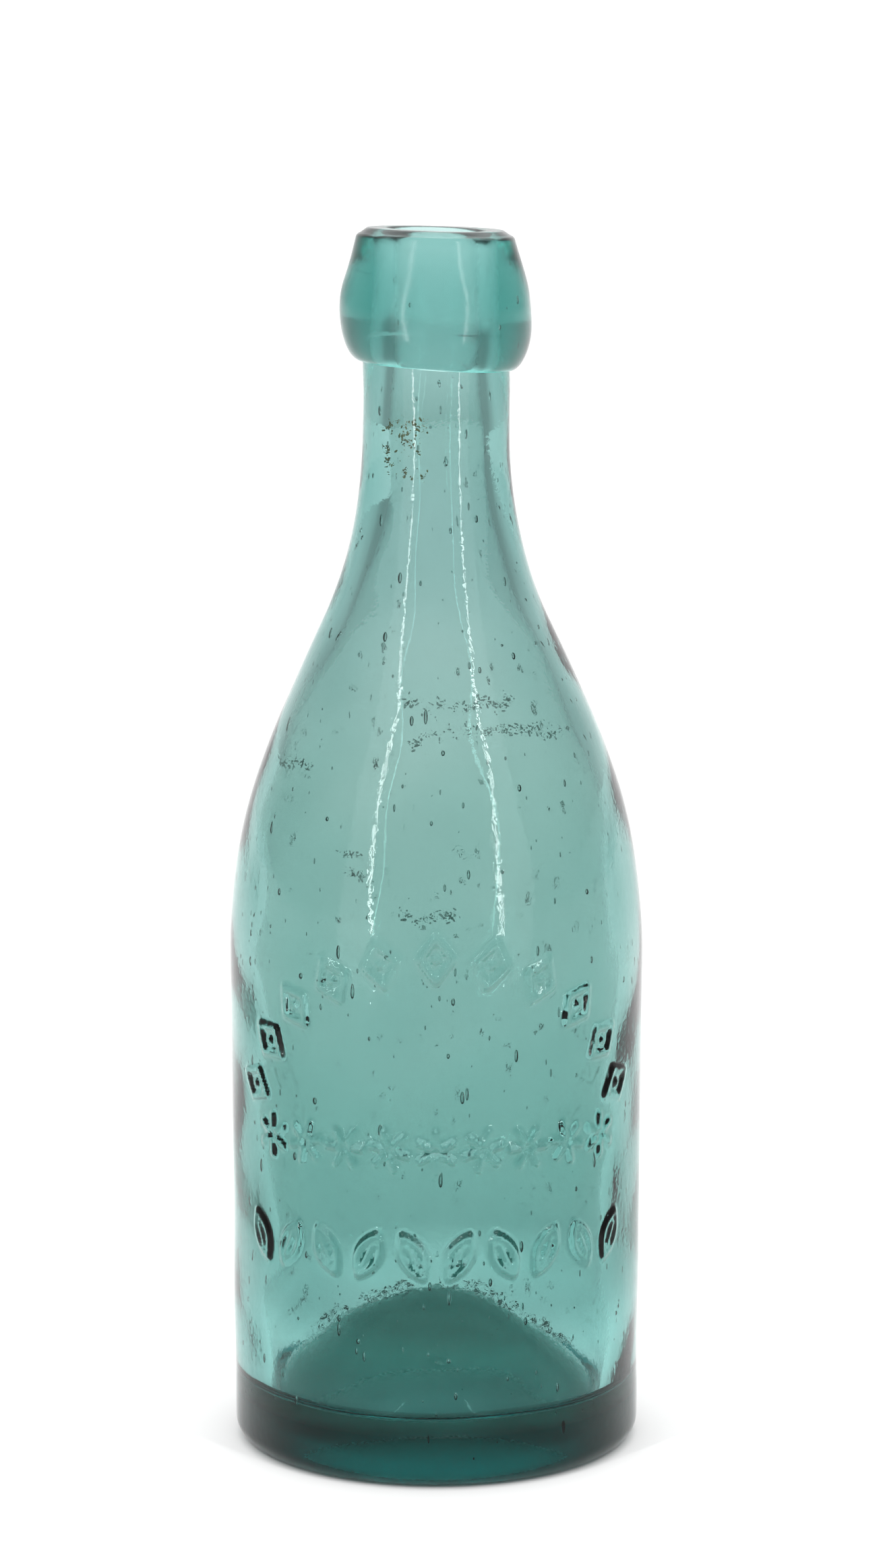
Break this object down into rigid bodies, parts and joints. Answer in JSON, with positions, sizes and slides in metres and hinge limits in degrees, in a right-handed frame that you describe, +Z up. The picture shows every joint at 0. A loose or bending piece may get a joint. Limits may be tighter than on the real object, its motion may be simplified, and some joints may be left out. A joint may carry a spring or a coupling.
{
  "type": "blob-top soda bottle",
  "caption": "Round blown-glass soda bottle with a long sloping shoulder, a straight neck, a heavy rounded applied lip and a pushed-up base.",
  "frame": {"origin": "centre of the ring that the bottle stands on, at the floor", "axes": "+Z up along the bottle's axis, -Y towards the ornamented front, +X to its right seen from the front"},
  "size_m": [0.0632, 0.0632, 0.186],
  "materials": {
    "body_glass": "aqua glass, fire-polished and slightly wavy",
    "lip_glass": "the same aqua glass, thicker and darker, tooled smooth"
  },
  "bodies": {
    "root": {"blown_body": "body_glass", "applied_lip": "lip_glass"}
  },
  "joints": []
}
